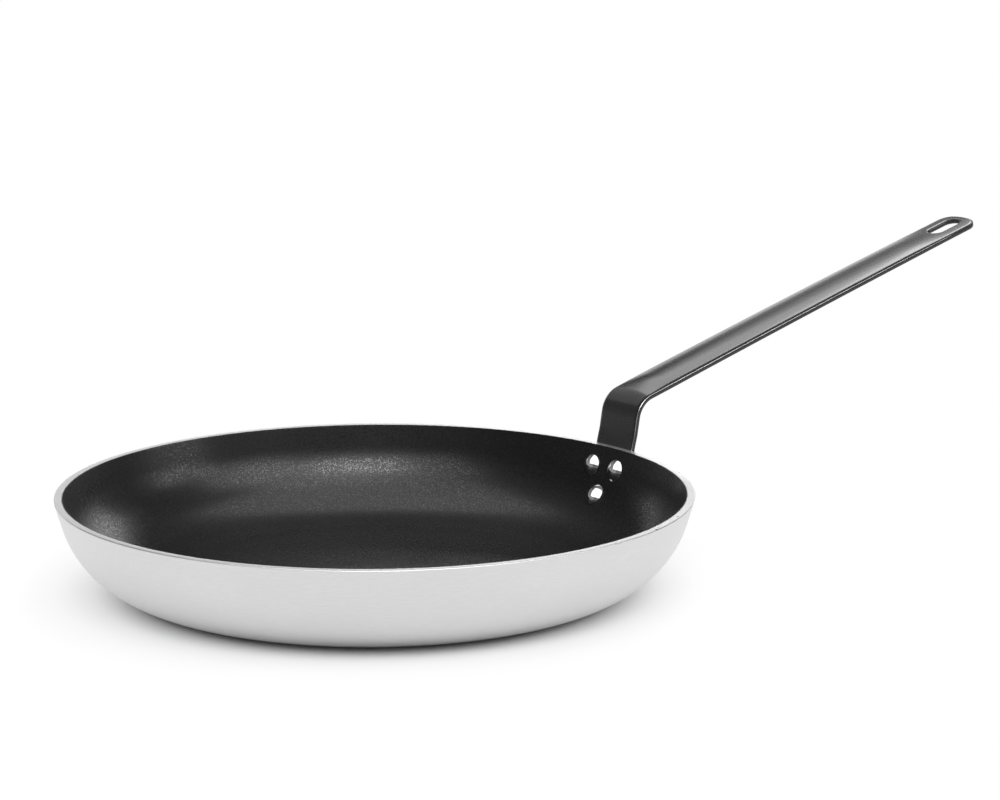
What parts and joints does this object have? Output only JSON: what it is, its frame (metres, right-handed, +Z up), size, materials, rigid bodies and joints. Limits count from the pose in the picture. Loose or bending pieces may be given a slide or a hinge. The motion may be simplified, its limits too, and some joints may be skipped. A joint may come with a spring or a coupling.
{
  "type": "omelette pan",
  "caption": "Shallow round frying pan for omelettes: pressed aluminium bowl with curved walls, a dark non-stick lining, a bare rim, and a long rising strip handle with a hanging slot.",
  "frame": {"origin": "centre of the flat base's underside, on the surface that the pan stands on", "axes": "+Z up along the bowl's axis, +X along the handle towards its tip, +Y to the left of the handle"},
  "size_m": [0.5856, 0.3198, 0.1445],
  "materials": {
    "body_aluminium": "fine turned satin",
    "nonstick_lining": "satin black with a fine light speckle",
    "handle_epoxy": "semi-gloss dark grey epoxy",
    "rivet_metal": "polished"
  },
  "bodies": {
    "root": {"pan_body": "body_aluminium", "nonstick_coating": "nonstick_lining", "handle": "handle_epoxy", "rivet_upper_left": "rivet_metal", "rivet_upper_right": "rivet_metal", "rivet_lower": "rivet_metal"}
  },
  "joints": []
}
